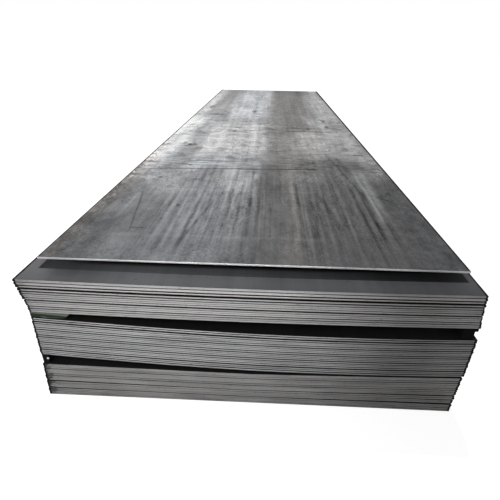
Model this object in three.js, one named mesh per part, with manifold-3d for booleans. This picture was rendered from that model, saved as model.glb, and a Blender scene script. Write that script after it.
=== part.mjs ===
// A warehouse stack of hot-rolled steel plate: three packs of 8 mm plates on
// timber packing, and one loose plate on battens on top of them.
//
// Millimetres, +Z up. X runs across the plates, +Y along them from the front
// ends to the back ends. The stack stands on z = 0, centred on the origin.

import * as THREE from 'three';
import Module from 'manifold-3d';

// Plates. The packs are of mill-edge plate, the loose one is trimmed to width.
// The highest plates of the upper pack are of a thicker lot.
const plateThickness = 8;
const thickLotThickness = 10;
const packPlateWidth = 1570;
const packPlateLength = 6000;
const loosePlateWidth = 1510;
const loosePlateLength = 6000;
const loosePlateSetback = 99;    // its front end behind the front of the packs
const loosePlateOffset = -3.4;   // its centre line, from the middle of the packs
const leafGap = 0.3;             // scale and trapped air between two plates
const millEdgeBulge = 2;         // how far a rolled long edge stands out
const sideStagger = 0.8;         // random-looking sideways slip of each plate
const endStagger = 1.2;          // the same along its length

// Packs. Lean is the sideways place of the lowest and of the highest plate.
// A lot is a run of plates rolled together, of one width and thickness.
// A parting is a gap between two plates, by its opening at the left edge, at
// the middle and at the right edge. The power says how early it opens out.
const lowerPack = {
  name: 'lower_pack',
  count: 18,
  lean: [-8, 0],
  lots: [],
  phase: 0.4,
  partingPower: 1.25,
  partings: [
    { leavesBelow: 2, left: 3, middle: 0, right: 3.4 },
    { leavesBelow: 4, left: 1.5, middle: 0, right: 6 },
    { leavesBelow: 6, left: 0, middle: 0, right: 4.7 },
    { leavesBelow: 8, left: 4, middle: 0, right: 3.3 },
    { leavesBelow: 10, left: 0, middle: 0, right: 2.6 },
    { leavesBelow: 14, left: 0, middle: 0, right: 0.7 },
    { leavesBelow: 16, left: 0, middle: 0, right: 1.3 },
  ],
};
const middlePack = {
  name: 'middle_pack',
  count: 20,
  lean: [3.5, 7.4],
  lots: [],
  phase: 1.9,
  partingPower: 2,
  partings: [
    { leavesBelow: 1, left: 1.1, middle: 2.8, right: 2 },
    { leavesBelow: 3, left: 0.5, middle: 1.2, right: 0.5 },
    { leavesBelow: 18, left: 0.5, middle: 1.3, right: 0.5 },
    { leavesBelow: 19, left: 0.5, middle: 1.2, right: 0.5 },
  ],
};
const upperPack = {
  name: 'upper_pack',
  count: 14,
  lean: [6, -13],
  lots: [
    { leavesBelow: 0, extraWidth: -5, thickness: plateThickness },
    { leavesBelow: 6, extraWidth: 2, thickness: plateThickness },
    { leavesBelow: 10, extraWidth: 10, thickness: thickLotThickness },
  ],
  phase: 3.1,
  partingPower: 2,
  partings: [
    { leavesBelow: 3, left: 0.2, middle: 0.5, right: 0.3 },
    { leavesBelow: 6, left: 1.2, middle: 2.2, right: 1.4 },
    { leavesBelow: 11, left: 3.4, middle: 4.6, right: 3.4 },
    { leavesBelow: 12, left: 2, middle: 2.4, right: 2.2 },
    { leavesBelow: 13, left: 0.6, middle: 0.8, right: 0.8 },
  ],
};

// Middle pack: high at its left edge, lowest at bowLowest, up again at right.
const bowDrop = 40;
const bowLowest = 200;
const bowRise = 14;

// Upper pack: its lowest plate sags this much between its edges.
const upperSag = 9.5;

// Packing: timbers across the stack, and short pieces at its front corners.
const seatGap = 0.3;             // between packing and the steel beside it
const battenHeight = 27;
const battenWidth = 70;
const battenEndInset = 12;
const upperPackingHeight = 22.5; // at the left edge, between middle and upper pack
const lowerPackingLeast = 4.5;   // where the lower and middle packs come closest
const bearerWidth = 90;
const bearerEndInset = 10;
const timberCount = 3;
const timberEndInset = 600;      // from the ends of what they carry to the outer timbers
const frontPackingLength = 145;
const frontPackingDepth = 260;
const frontPackingSlant = 24;    // its right end is sawn on a slant
const frontPackingChamfer = 9;
const frontPackingInset = 3;
const cornerPackingLength = 40;  // the dark piece at the front right
const cornerPackingDepth = 150;
const cornerPackingInset = 14;
const cornerPackingSetback = 2;
const cornerLipThickness = 14;   // its top reaches out under the upper pack
const cornerLipInset = 4;
const lowerBlockLength = 25;
const lowerBlockDepth = 180;
const lowerBlockInset = 4;

// Pairs: low in the lower pack two plates share one solid, with the gap
// between them cut pairGrooveDepth into all four faces.
const pairedCount = 12;
const pairGrooveDepth = 20;
const pairCoreOverlap = 1;

// Faceting
const sectionSteps = 16;
const millEdgeSteps = 4;
const packingStep = 100;

const wasm = await Module();
wasm.setup();

// Materials

const millScale = new THREE.MeshStandardMaterial({ color: 0x5c5d61, roughness: 0.5, metalness: 0.8 });
const looseScale = new THREE.MeshStandardMaterial({ color: 0x66676a, roughness: 0.42, metalness: 0.8 });
const timber = new THREE.MeshStandardMaterial({ color: 0x4a3d30, roughness: 0.9, metalness: 0 });
const greenTimber = new THREE.MeshStandardMaterial({ color: 0x59614f, roughness: 0.85, metalness: 0 });

// Curves across the width

const halfWidth = packPlateWidth / 2;
const commonLot = { extraWidth: 0, thickness: plateThickness };

function middleBow(x) {
  if (x < bowLowest) {
    const part = Math.max(0, (x + halfWidth) / (bowLowest + halfWidth));
    return -bowDrop * Math.sin((Math.PI / 2) * part);
  }
  return -bowDrop + bowRise * ((x - bowLowest) / (halfWidth - bowLowest)) ** 2;
}

function upperBow(x) {
  return -upperSag * (1 - (x / halfWidth) ** 2);
}

function openingOf({ left, middle, right }, x, power) {
  return middle + ((x < 0 ? left : right) - middle) * Math.abs(x / halfWidth) ** power;
}

function lotOf(pack, i) {
  return pack.lots.findLast((lot) => i >= lot.leavesBelow) ?? commonLot;
}

// The height of the underside of plate i of a pack, counted from 0.
function plateUnder(pack, i, x) {
  let height = pack.base + pack.bow(x);
  for (let k = 0; k < i; k += 1) height += lotOf(pack, k).thickness + leafGap;
  for (const parting of pack.partings) {
    if (i >= parting.leavesBelow) height += openingOf(parting, x, pack.partingPower);
  }
  return height;
}

function packUnderside(pack) {
  return (x) => plateUnder(pack, 0, x);
}

function packTop(pack) {
  const top = pack.count - 1;
  return (x) => plateUnder(pack, top, x) + lotOf(pack, top).thickness;
}

// How far a bowed shape has to be raised to rest on the highest point of a surface.
function restingHeight(surface, shape) {
  let height = -Infinity;
  for (let k = 0; k <= sectionSteps; k += 1) {
    const x = halfWidth * ((2 * k) / sectionSteps - 1);
    height = Math.max(height, surface(x) - shape(x));
  }
  return height;
}

// Each pack lies on the one below it, and the loose plate on the battens.
lowerPack.base = 0;
lowerPack.bow = () => 0;
middlePack.base = restingHeight(packTop(lowerPack), middleBow) + lowerPackingLeast;
middlePack.bow = middleBow;
upperPack.base = Math.max(
  packTop(middlePack)(-halfWidth) + upperPackingHeight + 2 * seatGap,
  restingHeight(packTop(middlePack), upperBow) + leafGap,
);
upperPack.bow = upperBow;
const looseBase = restingHeight(packTop(upperPack), () => 0) + battenHeight + 2 * seatGap;

// Solids

// An outline drawn across the width becomes a solid that runs back from frontY.
function runBack(outline, frontY, length) {
  const geometry = new THREE.ExtrudeGeometry(new THREE.Shape(outline), {
    depth: length,
    bevelEnabled: false,
    steps: 1,
  });
  geometry.rotateX(Math.PI / 2);
  geometry.translate(0, frontY + length, 0);
  return geometry;
}

function curvePoints(height, fromX, toX, steps) {
  const points = [];
  for (let k = 0; k <= steps; k += 1) {
    const x = fromX + ((toX - fromX) * k) / steps;
    points.push(new THREE.Vector2(x, height(x)));
  }
  return points;
}

// The bulged long edge of a plate, from one corner round to the other.
function millEdge(x, lowZ, thickness, side) {
  const points = [];
  for (let k = 1; k < millEdgeSteps; k += 1) {
    const turn = Math.PI * (k / millEdgeSteps - 0.5) * side;
    const rise = (thickness / 2) * (1 + Math.sin(turn));
    points.push(new THREE.Vector2(x + side * millEdgeBulge * Math.cos(turn), lowZ + rise));
  }
  return points;
}

function plateGeometry(under, centreX, width, thickness, frontY, length) {
  const left = centreX - width / 2 + millEdgeBulge;
  const right = centreX + width / 2 - millEdgeBulge;
  const outline = [
    ...curvePoints(under, left, right, sectionSteps),
    ...millEdge(right, under(right), thickness, 1),
    ...curvePoints((x) => under(x) + thickness, right, left, sectionSteps),
    ...millEdge(left, under(left), thickness, -1),
  ];
  return runBack(outline, frontY, length);
}

// Packing between two curved surfaces. The right end may be sawn on a slant.
function packingGeometry(floor, ceiling, fromX, toX, frontY, depth, slant = 0) {
  const steps = Math.ceil((toX - fromX) / packingStep);
  const outline = [
    ...curvePoints((x) => floor(x) + seatGap, fromX, toX - slant, steps),
    ...curvePoints((x) => ceiling(x) - seatGap, toX, fromX, steps),
  ];
  return runBack(outline, frontY, depth);
}

// Booleans

function toManifold(geometry) {
  const keys = new Map();
  const vertProperties = [];
  const position = geometry.getAttribute('position');
  const index = geometry.getIndex();
  const count = index ? index.count : position.count;
  const triVerts = new Uint32Array(count);
  for (let k = 0; k < count; k += 1) {
    const v = index ? index.getX(k) : k;
    const point = [position.getX(v), position.getY(v), position.getZ(v)];
    const key = point.map((value) => value.toFixed(4)).join(' ');
    if (!keys.has(key)) {
      keys.set(key, vertProperties.length / 3);
      vertProperties.push(...point);
    }
    triVerts[k] = keys.get(key);
  }
  const mesh = new wasm.Mesh({
    numProp: 3,
    vertProperties: new Float32Array(vertProperties),
    triVerts,
  });
  return new wasm.Manifold(mesh);
}

function toGeometry(solid) {
  const mesh = solid.getMesh();
  const geometry = new THREE.BufferGeometry();
  geometry.setAttribute('position', new THREE.BufferAttribute(mesh.vertProperties, 3));
  geometry.setIndex(new THREE.BufferAttribute(mesh.triVerts, 1));
  geometry.computeVertexNormals();
  return geometry;
}

// The stack

const stack = new THREE.Group();

function addPiece(name, geometry, material) {
  const mesh = new THREE.Mesh(geometry, material);
  mesh.name = name;
  stack.add(mesh);
}

function numbered(name, number) {
  return `${name}_${String(number).padStart(2, '0')}`;
}

function plateWidth(pack, i) {
  return packPlateWidth + lotOf(pack, i).extraWidth;
}

function packPlate(pack, i) {
  const centreX = pack.lean[0] + ((pack.lean[1] - pack.lean[0]) * i) / (pack.count - 1)
    + sideStagger * Math.sin(pack.phase + 2.4 * i);
  const frontY = endStagger * Math.sin(pack.phase + 1.7 * i);
  return plateGeometry(
    (x) => plateUnder(pack, i, x),
    centreX,
    plateWidth(pack, i),
    lotOf(pack, i).thickness,
    frontY,
    packPlateLength,
  );
}

function addPack(pack, firstSingle = 0) {
  for (let i = firstSingle; i < pack.count; i += 1) {
    addPiece(numbered(`${pack.name}_plate`, i + 1), packPlate(pack, i), millScale);
  }
}

// Two plates joined by a core that stops short of all four faces.
function addPair(pack, i) {
  const inset = pairGrooveDepth + sideStagger + millEdgeBulge;
  const reach = halfWidth - inset;
  const middle = pack.lean[0] + ((pack.lean[1] - pack.lean[0]) * (i + 0.5)) / (pack.count - 1);
  const gapFloor = (x) => plateUnder(pack, i, x) + lotOf(pack, i).thickness;
  const core = runBack(
    [
      ...curvePoints((x) => gapFloor(x) - pairCoreOverlap, middle - reach, middle + reach, sectionSteps),
      ...curvePoints(
        (x) => gapFloor(x) + leafGap + pairCoreOverlap,
        middle + reach,
        middle - reach,
        sectionSteps,
      ),
    ],
    inset,
    packPlateLength - 2 * inset,
  );
  const pair = toManifold(packPlate(pack, i))
    .add(toManifold(core))
    .add(toManifold(packPlate(pack, i + 1)));
  addPiece(numbered(`${pack.name}_pair`, i / 2 + 1), toGeometry(pair), millScale);
}

for (let i = 0; i < pairedCount; i += 2) addPair(lowerPack, i);
addPack(lowerPack, pairedCount);
addPack(middlePack);
addPack(upperPack);

addPiece(
  'loose_top_plate',
  plateGeometry(
    () => looseBase,
    loosePlateOffset,
    loosePlateWidth,
    plateThickness,
    loosePlateSetback,
    loosePlateLength,
  ),
  looseScale,
);

// Packing pieces

const leftEdge = -halfWidth + middlePack.lean[0];
const rightEdge = halfWidth + middlePack.lean[0];

function bearerGeometry(below, above, place) {
  return packingGeometry(
    packTop(below),
    packUnderside(above),
    leftEdge + bearerEndInset,
    rightEdge - bearerEndInset,
    place - bearerWidth / 2,
    bearerWidth,
  );
}

// Where a timber lies between the front and the back of what it has to carry.
function timberPlace(front, back, k) {
  return front + timberEndInset + (k / (timberCount - 1)) * (back - front - 2 * timberEndInset);
}

// The battens keep to the length over which the loose plate has the pack below it.
const battenBack = Math.min(packPlateLength, loosePlateSetback + loosePlateLength);

for (let k = 0; k < timberCount; k += 1) {
  const place = timberPlace(0, packPlateLength, k);
  const batten = packingGeometry(
    packTop(upperPack),
    () => looseBase,
    loosePlateOffset - loosePlateWidth / 2 + battenEndInset,
    loosePlateOffset + loosePlateWidth / 2 - battenEndInset,
    timberPlace(loosePlateSetback, battenBack, k) - battenWidth / 2,
    battenWidth,
  );
  addPiece(numbered('loose_plate_batten', k + 1), batten, timber);
  addPiece(numbered('upper_bearer', k + 1), bearerGeometry(middlePack, upperPack, place), timber);
  addPiece(numbered('lower_bearer', k + 1), bearerGeometry(lowerPack, middlePack, place), timber);
}

// The short green piece at the front left, with its lower front edge planed off.
function frontPacking() {
  const fromX = leftEdge + frontPackingInset;
  const toX = fromX + frontPackingLength;
  const block = packingGeometry(
    packTop(middlePack),
    packUnderside(upperPack),
    fromX,
    toX,
    frontPackingInset,
    frontPackingDepth,
    frontPackingSlant,
  );
  const planed = new THREE.Shape([
    new THREE.Vector2(-frontPackingChamfer, -frontPackingChamfer),
    new THREE.Vector2(frontPackingChamfer, -frontPackingChamfer),
    new THREE.Vector2(-frontPackingChamfer, frontPackingChamfer),
  ]);
  const cutter = new THREE.ExtrudeGeometry(planed, {
    depth: frontPackingLength * 2,
    bevelEnabled: false,
    steps: 1,
  });
  cutter.rotateX(Math.PI / 2);
  cutter.rotateZ(Math.PI / 2);
  cutter.translate(
    fromX - frontPackingLength / 2,
    frontPackingInset,
    packTop(middlePack)(fromX) + seatGap,
  );
  return toGeometry(toManifold(block).subtract(toManifold(cutter)));
}

addPiece('front_left_packing', frontPacking(), greenTimber);

// The dark block at the front right, rebated so that a lip of it reaches out
// to the edge of the upper pack.
function cornerPacking() {
  const underside = packUnderside(upperPack);
  const toX = rightEdge - cornerPackingInset;
  const edge = upperPack.lean[0] + plateWidth(upperPack, 0) / 2;
  const block = (floor, fromX, endX) => toManifold(
    packingGeometry(floor, underside, fromX, endX, cornerPackingSetback, cornerPackingDepth),
  );
  const fromX = toX - cornerPackingLength;
  const lipFloor = (x) => underside(x) - 2 * seatGap - cornerLipThickness;
  return toGeometry(
    block(packTop(middlePack), fromX, toX).add(block(lipFloor, fromX, edge - cornerLipInset)),
  );
}

addPiece('front_right_packing', cornerPacking(), timber);

addPiece(
  'lower_left_packing',
  packingGeometry(
    packTop(lowerPack),
    packUnderside(middlePack),
    leftEdge,
    leftEdge + lowerBlockLength,
    lowerBlockInset,
    lowerBlockDepth,
  ),
  timber,
);

// Centre the stack on the origin.
const box = new THREE.Box3().setFromObject(stack);
const centre = box.getCenter(new THREE.Vector3());
stack.position.set(-centre.x, -centre.y, -box.min.z);

export default stack;
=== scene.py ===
"""Dresses a packed warehouse stack of hot-rolled steel plate and sets it on a pale floor."""

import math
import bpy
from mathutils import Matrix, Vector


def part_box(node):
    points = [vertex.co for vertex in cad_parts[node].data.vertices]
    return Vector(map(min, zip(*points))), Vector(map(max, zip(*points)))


bl_info = {
    "name": "Steel plate stack",
    "version": (1, 0, 0),
    "blender": (4, 5, 0),
    "location": "3D View > Sidebar > Plate stack",
    "description": "Finishes a stack of hot-rolled steel plates in packs, its packing, floor and light",
    "category": "Object",
}

import bpy
from bpy.props import FloatProperty, FloatVectorProperty, IntProperty, PointerProperty

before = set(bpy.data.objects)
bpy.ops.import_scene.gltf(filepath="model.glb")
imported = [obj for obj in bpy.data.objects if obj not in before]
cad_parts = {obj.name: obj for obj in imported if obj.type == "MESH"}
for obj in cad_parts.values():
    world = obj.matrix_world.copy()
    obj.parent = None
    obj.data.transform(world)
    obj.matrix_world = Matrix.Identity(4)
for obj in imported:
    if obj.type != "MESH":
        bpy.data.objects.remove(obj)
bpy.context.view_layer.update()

PACK_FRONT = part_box("upper_pack_plate_14")[0].y
LOOSE_LOW, LOOSE_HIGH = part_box("loose_top_plate")
GREEN_LOW, GREEN_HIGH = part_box("front_left_packing")
BLOCK_LOW, BLOCK_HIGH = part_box("lower_left_packing")
KNOT_PLACE = (BLOCK_HIGH.x - 0.004, BLOCK_LOW.y, 0.5 * (BLOCK_LOW.z + BLOCK_HIGH.z) + 0.001)

# The camera: its place in metres, its turn in degrees, the shift of its frame, the width
# of its sensor in millimetres and how far it sees in metres.
CAMERA_PLACE = (0.05798, -4.23263, 1.23011)
CAMERA_TURN = (60.2427, -0.8456, 2.5747)
CAMERA_SHIFT = (-0.00598, 0.06092)
SENSOR_WIDTH = 36.0
CAMERA_REACH = 200.0
# The floor's size, and how far below the stack it lies so that the two don't touch.
FLOOR_SIZE = 120.0
FLOOR_DROP = 0.0005


# ---------------------------------------------------------------- node helpers


def wire(tree, kind, inputs=None, **attributes):
    """Adds a node, sets its attributes, and fills or links its inputs."""
    node = tree.nodes.new(kind)
    for name, value in attributes.items():
        setattr(node, name, value)
    for key, value in (inputs or {}).items():
        socket = node.inputs[key]
        if isinstance(value, bpy.types.NodeSocket):
            tree.links.new(value, socket)
        else:
            socket.default_value = value
    return node


def maths(tree, operation, first, second=0.0, third=0.0, clamp=False):
    """One arithmetic step on numbers or sockets."""
    inputs = {0: first, 1: second, 2: third}
    node = wire(tree, "ShaderNodeMath", inputs, operation=operation, use_clamp=clamp)
    return node.outputs[0]


def spread(tree, value, low, high, to_low=0.0, to_high=1.0, smooth=False):
    """Maps a range onto another range without leaving it; a smooth step needs no clamp for that."""
    node = wire(
        tree,
        "ShaderNodeMapRange",
        {"Value": value, 1: low, 2: high, 3: to_low, 4: to_high},
        interpolation_type="SMOOTHSTEP" if smooth else "LINEAR",
        clamp=not smooth,
    )
    return node.outputs[0]


def blend(tree, factor, first, second, mode="MIX"):
    """Mixes two colours."""
    node = wire(tree, "ShaderNodeMix", {0: factor, 6: first, 7: second}, data_type="RGBA", blend_type=mode)
    return node.outputs[2]


def grey(value):
    """A neutral colour of this brightness."""
    return (value, value, value, 1.0)


def scaled(colour, factor):
    """A colour made brighter or darker by this factor."""
    return tuple(factor * part for part in colour[:3]) + (1.0,)


def brighten(tree, colour, level):
    """A colour socket multiplied by a number socket."""
    inputs = {0: colour, "Scale": level}
    return wire(tree, "ShaderNodeVectorMath", inputs, operation="SCALE").outputs[0]


def moved_by_seed(tree, spot, seed, axis):
    """A point shifted by a seed along X and along one more axis."""
    shift = wire(tree, "ShaderNodeCombineXYZ", {0: seed, axis: seed})
    inputs = {0: spot, 1: shift.outputs[0]}
    return wire(tree, "ShaderNodeVectorMath", inputs, operation="ADD").outputs[0]


def window(tree, value, low, high, soft):
    """1 within a range, falling to 0 over a soft edge at each end."""
    rise = spread(tree, value, low - soft, low, smooth=True)
    fall = spread(tree, value, high, high + soft, 1.0, 0.0, smooth=True)
    return maths(tree, "MULTIPLY", rise, fall)


def object_place(tree):
    """The X, Y and Z of a point in the stack's own frame, and the vector itself."""
    coords = wire(tree, "ShaderNodeTexCoord")
    parts = wire(tree, "ShaderNodeSeparateXYZ", {0: coords.outputs["Object"]})
    return parts.outputs[0], parts.outputs[1], parts.outputs[2], coords.outputs["Object"]


def stretched_noise(tree, vector, size, detail=3.0, rough=0.55, seed=0.0, distort=0.0):
    """Noise whose grain has this size in metres along X, Y and Z."""
    scale = tuple(1.0 / step for step in size)
    shift = (seed, 1.7 * seed, 2.3 * seed)
    place = wire(tree, "ShaderNodeMapping", {0: vector, "Scale": scale, "Location": shift})
    noise = wire(
        tree,
        "ShaderNodeTexNoise",
        {
            "Vector": place.outputs[0], "Scale": 1.0, "Detail": detail, "Roughness": rough,
            "Distortion": distort,
        },
    )
    return noise.outputs["Fac"]


def new_group(name, inputs, outputs):
    """An empty shader node group with these sockets."""
    group = bpy.data.node_groups.new(name, "ShaderNodeTree")
    for label, kind, default in inputs:
        socket = group.interface.new_socket(label, in_out="INPUT", socket_type=kind)
        if default is not None:
            socket.default_value = default
    for label, kind in outputs:
        group.interface.new_socket(label, in_out="OUTPUT", socket_type=kind)
    return group, group.nodes.new("NodeGroupInput"), group.nodes.new("NodeGroupOutput")


def use_group(tree, group, inputs=None):
    """Places a node group in a tree."""
    return wire(tree, "ShaderNodeGroup", inputs, node_tree=group)


def new_material(name):
    """A material with an empty tree but for its Principled shader."""
    material = bpy.data.materials.new(name)
    material.use_nodes = True
    tree = material.node_tree
    return material, tree, tree.nodes["Principled BSDF"]


# ---------------------------------------------------------------- shared effects

FLOAT = "NodeSocketFloat"
COLOUR = "NodeSocketColor"


def make_face_masks():
    """Tells a plate's cut ends, the rims next to them, its broad faces and its long edges apart."""
    outputs = [("Cut end", FLOAT), ("Rim", FLOAT), ("Broad face", FLOAT), ("Long edge", FLOAT)]
    group, _, out = new_group("plate_face_masks", [], outputs)
    coords = wire(group, "ShaderNodeTexCoord")
    parts = wire(group, "ShaderNodeSeparateXYZ", {0: coords.outputs["Normal"]})
    ends = maths(group, "ABSOLUTE", parts.outputs[1])
    group.links.new(spread(group, ends, 0.97, 0.985), out.inputs["Cut end"])
    turned = maths(
        group, "MULTIPLY", spread(group, ends, 0.1, 0.25), spread(group, ends, 0.97, 0.985, 1.0, 0.0)
    )
    group.links.new(turned, out.inputs["Rim"])
    faces = maths(group, "ABSOLUTE", parts.outputs[2])
    group.links.new(spread(group, faces, 0.7, 0.9), out.inputs["Broad face"])
    sides = maths(group, "ABSOLUTE", parts.outputs[0])
    group.links.new(spread(group, sides, 0.75, 0.9), out.inputs["Long edge"])
    return group


def make_side_darkening():
    """A ragged dark line down both sides of a pack, which leans as the pack leans."""
    places = ["Bottom", "Top", "Left below", "Left above", "Right below", "Right above"]
    inputs = [(label, FLOAT, 0.0) for label in places] + [("Width", FLOAT, 0.0090)]
    group, given, out = new_group("plate_side_darkening", inputs, [("Mask", FLOAT)])
    x, _, z, spot = object_place(group)
    sockets = (given.outputs[label] for label in places)
    bottom, top, left_below, left_above, right_below, right_above = sockets
    left = maths(group, "SUBTRACT", x, spread(group, z, bottom, top, left_below, left_above))
    right = maths(group, "SUBTRACT", spread(group, z, bottom, top, right_below, right_above), x)
    ragged = stretched_noise(group, spot, (0.008, 0.10, 0.006), detail=3.0, seed=15.0)
    inset = maths(group, "MULTIPLY_ADD", ragged, 0.008, maths(group, "MINIMUM", left, right))
    inset = maths(group, "SUBTRACT", inset, given.outputs["Width"])
    group.links.new(spread(group, inset, 0.003, 0.005, 1.0, 0.0), out.inputs["Mask"])
    return group


def make_mill_scale():
    """Rolled mill scale: lengthwise streaks, mottling and specks."""
    group, given, out = new_group(
        "rolled_mill_scale",
        [
            ("Scale colour", COLOUR, grey(0.2)), ("Streaks", FLOAT, 0.2), ("Mottle", FLOAT, 0.3),
            ("Seed", FLOAT, 0.0),
        ],
        [("Colour", COLOUR), ("Roughness", FLOAT), ("Height", FLOAT)],
    )
    _, _, _, spot = object_place(group)
    spot = moved_by_seed(group, spot, given.outputs["Seed"], 2)
    streaks = stretched_noise(group, spot, (0.024, 1.6, 9.0), detail=2.0, seed=3.0)
    fine = stretched_noise(group, spot, (0.006, 0.25, 9.0), detail=3.0, seed=5.0)
    patches = stretched_noise(group, spot, (0.22, 0.5, 9.0), detail=5.0, rough=0.6, seed=7.0)
    specks = stretched_noise(group, spot, (0.018, 0.03, 9.0), detail=4.0, rough=0.65, seed=11.0)
    streak = spread(group, streaks, 0.35, 0.65, -1.0, 1.0)
    streak = maths(group, "MULTIPLY", streak, given.outputs["Streaks"])
    hair = maths(group, "MULTIPLY", maths(group, "SUBTRACT", fine, 0.5), 0.35)
    patch = maths(group, "MULTIPLY", maths(group, "SUBTRACT", patches, 0.5), given.outputs["Mottle"])
    speck = maths(group, "MULTIPLY", spread(group, specks, 0.62, 0.72), -0.35)
    tone = maths(group, "ADD", maths(group, "ADD", streak, hair), maths(group, "ADD", patch, speck))
    tone = maths(group, "ADD", tone, 1.0)
    group.links.new(brighten(group, given.outputs["Scale colour"], tone), out.inputs["Colour"])
    rough = maths(group, "ADD", maths(group, "MULTIPLY", patches, 0.25), maths(group, "MULTIPLY", fine, 0.1))
    group.links.new(maths(group, "ADD", rough, 0.17), out.inputs["Roughness"])
    height = maths(group, "ADD", maths(group, "MULTIPLY", fine, 0.4), maths(group, "MULTIPLY", specks, 0.6))
    group.links.new(height, out.inputs["Height"])
    return group


def make_cut_steel():
    """A bare cut plate end: shear striations, smears, dark handling marks, soil at its left corners, painted
    shade towards its right end, and painted light in its middle and at its right end.
    """
    group, given, out = new_group(
        "cut_steel_end",
        [
            ("Cut colour", COLOUR, grey(0.5)), ("Smear", FLOAT, 0.3), ("Corner soil", FLOAT, 0.0),
            ("Right shade", FLOAT, 0.0), ("Right shade band", FLOAT, 0.0), ("Seed", FLOAT, 0.0),
        ],
        [("Colour", COLOUR), ("Roughness", FLOAT), ("Height", FLOAT)],
    )
    x, _, _, spot = object_place(group)
    blot = stretched_noise(group, spot, (0.02, 0.5, 0.010), detail=4.0, rough=0.7, seed=31.0)
    corner = maths(group, "MULTIPLY_ADD", blot, 0.12, x)
    corner = spread(group, corner, -0.715, -0.685, 1.0, 0.0, smooth=True)
    corner = maths(group, "MULTIPLY", corner, given.outputs["Corner soil"])
    spot = moved_by_seed(group, spot, given.outputs["Seed"], 1)
    smears = stretched_noise(group, spot, (0.16, 0.5, 0.05), detail=4.0, seed=2.0)
    shear = stretched_noise(group, spot, (0.0016, 0.5, 0.02), detail=2.0, seed=4.0)
    marks = stretched_noise(group, spot, (0.02, 0.5, 0.006), detail=3.0, seed=6.0)
    smear = maths(group, "SUBTRACT", smears, 0.5)
    smear = maths(group, "MULTIPLY", smear, maths(group, "MULTIPLY", given.outputs["Smear"], 2.0))
    mark = maths(group, "MULTIPLY", spread(group, marks, 0.6, 0.75), -0.45)
    tone = maths(group, "ADD", maths(group, "ADD", smear, mark), maths(group, "MULTIPLY", shear, 0.3))
    tone = maths(group, "ADD", tone, 0.85)
    tone = maths(group, "MULTIPLY", tone, maths(group, "SUBTRACT", 1.0, corner))
    # painted shade towards the right and in a band near the right end, and painted light in the middle and at
    # the right end
    right = maths(group, "MULTIPLY", spread(group, x, 0.10, 0.65, smooth=True), given.outputs["Right shade"])
    tone = maths(group, "MULTIPLY", tone, maths(group, "SUBTRACT", 1.0, right))
    shade_band = maths(group, "MULTIPLY", window(group, x, 0.53, 0.62, 0.13), given.outputs["Right shade band"])
    middle_painted_light = spread(group, x, 0.05, 0.26, 1.0, 1.06)
    painted_light = maths(group, "ADD", middle_painted_light, spread(group, x, 0.63, 0.70, 0.0, 0.08))
    tone = maths(group, "MULTIPLY", tone, maths(group, "SUBTRACT", painted_light, shade_band))
    group.links.new(brighten(group, given.outputs["Cut colour"], tone), out.inputs["Colour"])
    group.links.new(spread(group, smears, 0.3, 0.7, 0.35, 0.6), out.inputs["Roughness"])
    group.links.new(maths(group, "ADD", shear, marks), out.inputs["Height"])
    return group


# Broad marks on the loose plate: X from and to, Y from and to, strength and warmth.
BROAD_MARKS = (
    (0.22, 0.80, -3.40, -1.90, -0.27, -0.005), (0.13, 0.20, -3.40, -1.75, -0.04, 0.04),
    (-0.10, 0.12, -3.40, -2.00, -0.20, 0.0), (0.02, 0.12, -2.10, -1.50, -0.20, 0.0),
    (0.545, 0.60, -2.45, -1.65, 0.22, 0.0), (-0.85, -0.60, -3.40, -2.50, -0.32, -0.01),
    (-0.85, -0.66, -2.50, -2.00, -0.20, -0.01), (-0.60, -0.42, -3.40, -2.20, -0.16, -0.01),
    (-0.38, -0.14, -2.90, -2.00, -0.04, -0.02), (-0.20, -0.05, -2.10, -1.75, 0.14, 0.01),
    (0.64, 0.85, -3.40, -1.80, -0.06, -0.01), (0.10, 0.62, -1.72, -1.45, -0.06, -0.005),
    (-0.42, -0.18, -1.72, -1.45, 0.14, -0.03), (0.22, 0.60, -1.80, -1.48, -0.16, 0.0),
    (-0.85, -0.62, -1.55, 0.30, 0.34, 0.0), (-0.45, 0.00, -1.38, -0.15, 0.27, 0.01),
    (0.28, 0.59, -1.35, -0.52, 0.20, 0.01), (0.06, 0.20, -1.70, -0.40, -0.04, 0.02),
    (0.16, 0.34, -0.55, 0.35, -0.14, 0.03), (-0.40, 0.02, 0.40, 3.40, 0.18, -0.02),
    (0.10, 0.42, 0.50, 3.40, -0.14, 0.04), (-0.62, -0.42, -1.35, 0.20, 0.08, -0.01),
    (0.55, 0.85, 0.20, 3.40, 0.14, 0.0), (-0.85, -0.66, 0.50, 3.40, 0.16, 0.0),
    (-0.60, 0.55, 2.75, 2.90, -0.12, 0.01), (0.60, 0.78, -1.10, 0.60, 0.04, 0.01),
    (0.58, 0.85, -1.40, -0.40, 0.16, 0.0), (0.42, 0.60, -0.50, 0.30, 0.14, 0.0),
    (-0.62, -0.02, -3.40, -1.20, 0.0, -0.032), (-0.45, -0.05, 0.00, 3.40, 0.0, -0.040),
    (0.09, 0.42, -1.90, 3.40, 0.0, 0.030), (0.50, 0.60, -1.60, -0.60, -0.12, 0.0),
    (-0.12, -0.02, -2.75, -1.85, 0.17, 0.0), (-0.38, 0.00, 0.00, 0.75, 0.15, 0.0),
    (-0.85, -0.62, -0.60, 0.05, 0.14, 0.0), (-0.85, -0.62, 0.70, 1.50, 0.14, 0.0),
    (0.42, 0.60, 2.40, 3.40, -0.20, 0.0), (0.08, 0.18, -2.60, -2.10, -0.06, 0.0),
)
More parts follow.
